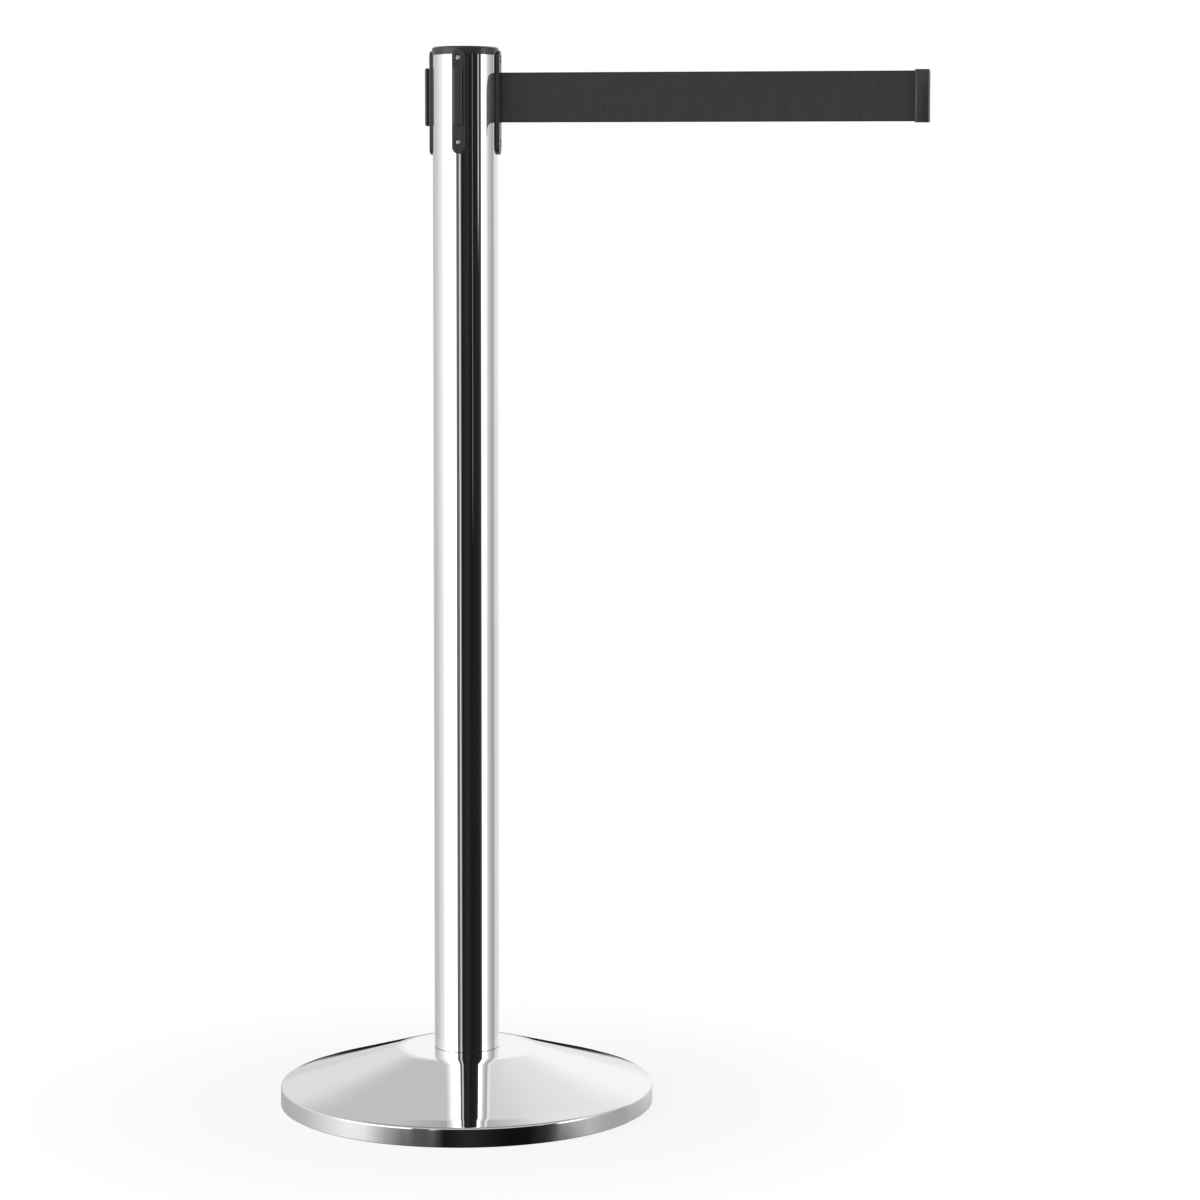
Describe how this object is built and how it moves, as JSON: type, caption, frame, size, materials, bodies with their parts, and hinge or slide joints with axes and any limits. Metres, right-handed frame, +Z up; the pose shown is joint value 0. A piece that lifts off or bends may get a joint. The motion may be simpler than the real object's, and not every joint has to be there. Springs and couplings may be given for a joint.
{
  "type": "retractable belt stanchion",
  "caption": "Free-standing chrome post on a domed weighted base, with a spring-reeled belt that pulls out of the head and rail receivers for other posts' belts.",
  "frame": {"origin": "on the post's axis at floor level", "axes": "+Z up along the post, +X along the belt, -Y towards the front receiver"},
  "size_m": [0.6335, 0.367, 1.0363],
  "materials": {
    "chrome": "mirror polished",
    "black_plastic": "satin moulded",
    "belt_webbing": "woven polyester",
    "cast_iron": "cast, painted",
    "pad_rubber": "matt",
    "zinc_steel": "zinc plated",
    "screw_steel": "bright",
    "spring_steel": "blued",
    "bronze": "sintered",
    "nylon": "moulded natural nylon"
  },
  "bodies": {
    "post": {"base_cover": "chrome", "base_weight": "cast_iron", "base_pad": "pad_rubber", "bolt_washer": "zinc_steel", "base_bolt": "zinc_steel", "foot_plug": "zinc_steel", "post_gasket": "pad_rubber", "post_tube": "chrome", "top_cap": "black_plastic", "receiver_left": "black_plastic", "receiver_front": "black_plastic", "receiver_rear": "black_plastic", "outlet_strip": "black_plastic", "strip_screws": "screw_steel", "cassette_body": "black_plastic", "cassette_lid": "black_plastic", "guide_pins": "zinc_steel", "reel_axle": "zinc_steel", "axle_nut": "zinc_steel", "thrust_washers": "nylon", "spring_arbor": "zinc_steel", "belt_lead": "belt_webbing"},
    "reel": {"reel_drum": "nylon", "reel_bush_lower": "bronze", "reel_bush_upper": "bronze", "spring_housing": "nylon", "spring_cover": "nylon", "power_spring": "spring_steel", "wound_belt": "belt_webbing"},
    "belt": {"belt": "belt_webbing", "clip_body": "black_plastic", "clip_pin": "zinc_steel"}
  },
  "joints": [
    {"name": "belt_pull", "type": "slide", "parent": "post", "child": "belt", "axis": [1, 0, 0], "range_m": [-0.4, 1.85], "deforming": ["belt"]},
    {"name": "reel_turn", "type": "hinge", "parent": "post", "child": "reel", "pos_m": [0, 0, 0.988], "axis": [0, 0, 1], "range_deg": [-1126, 5169], "deforming": ["power_spring"]}
  ],
  "couplings": [
    {"joint": "reel_turn", "follows": "belt_pull", "rad_per_m": 48.674}
  ]
}
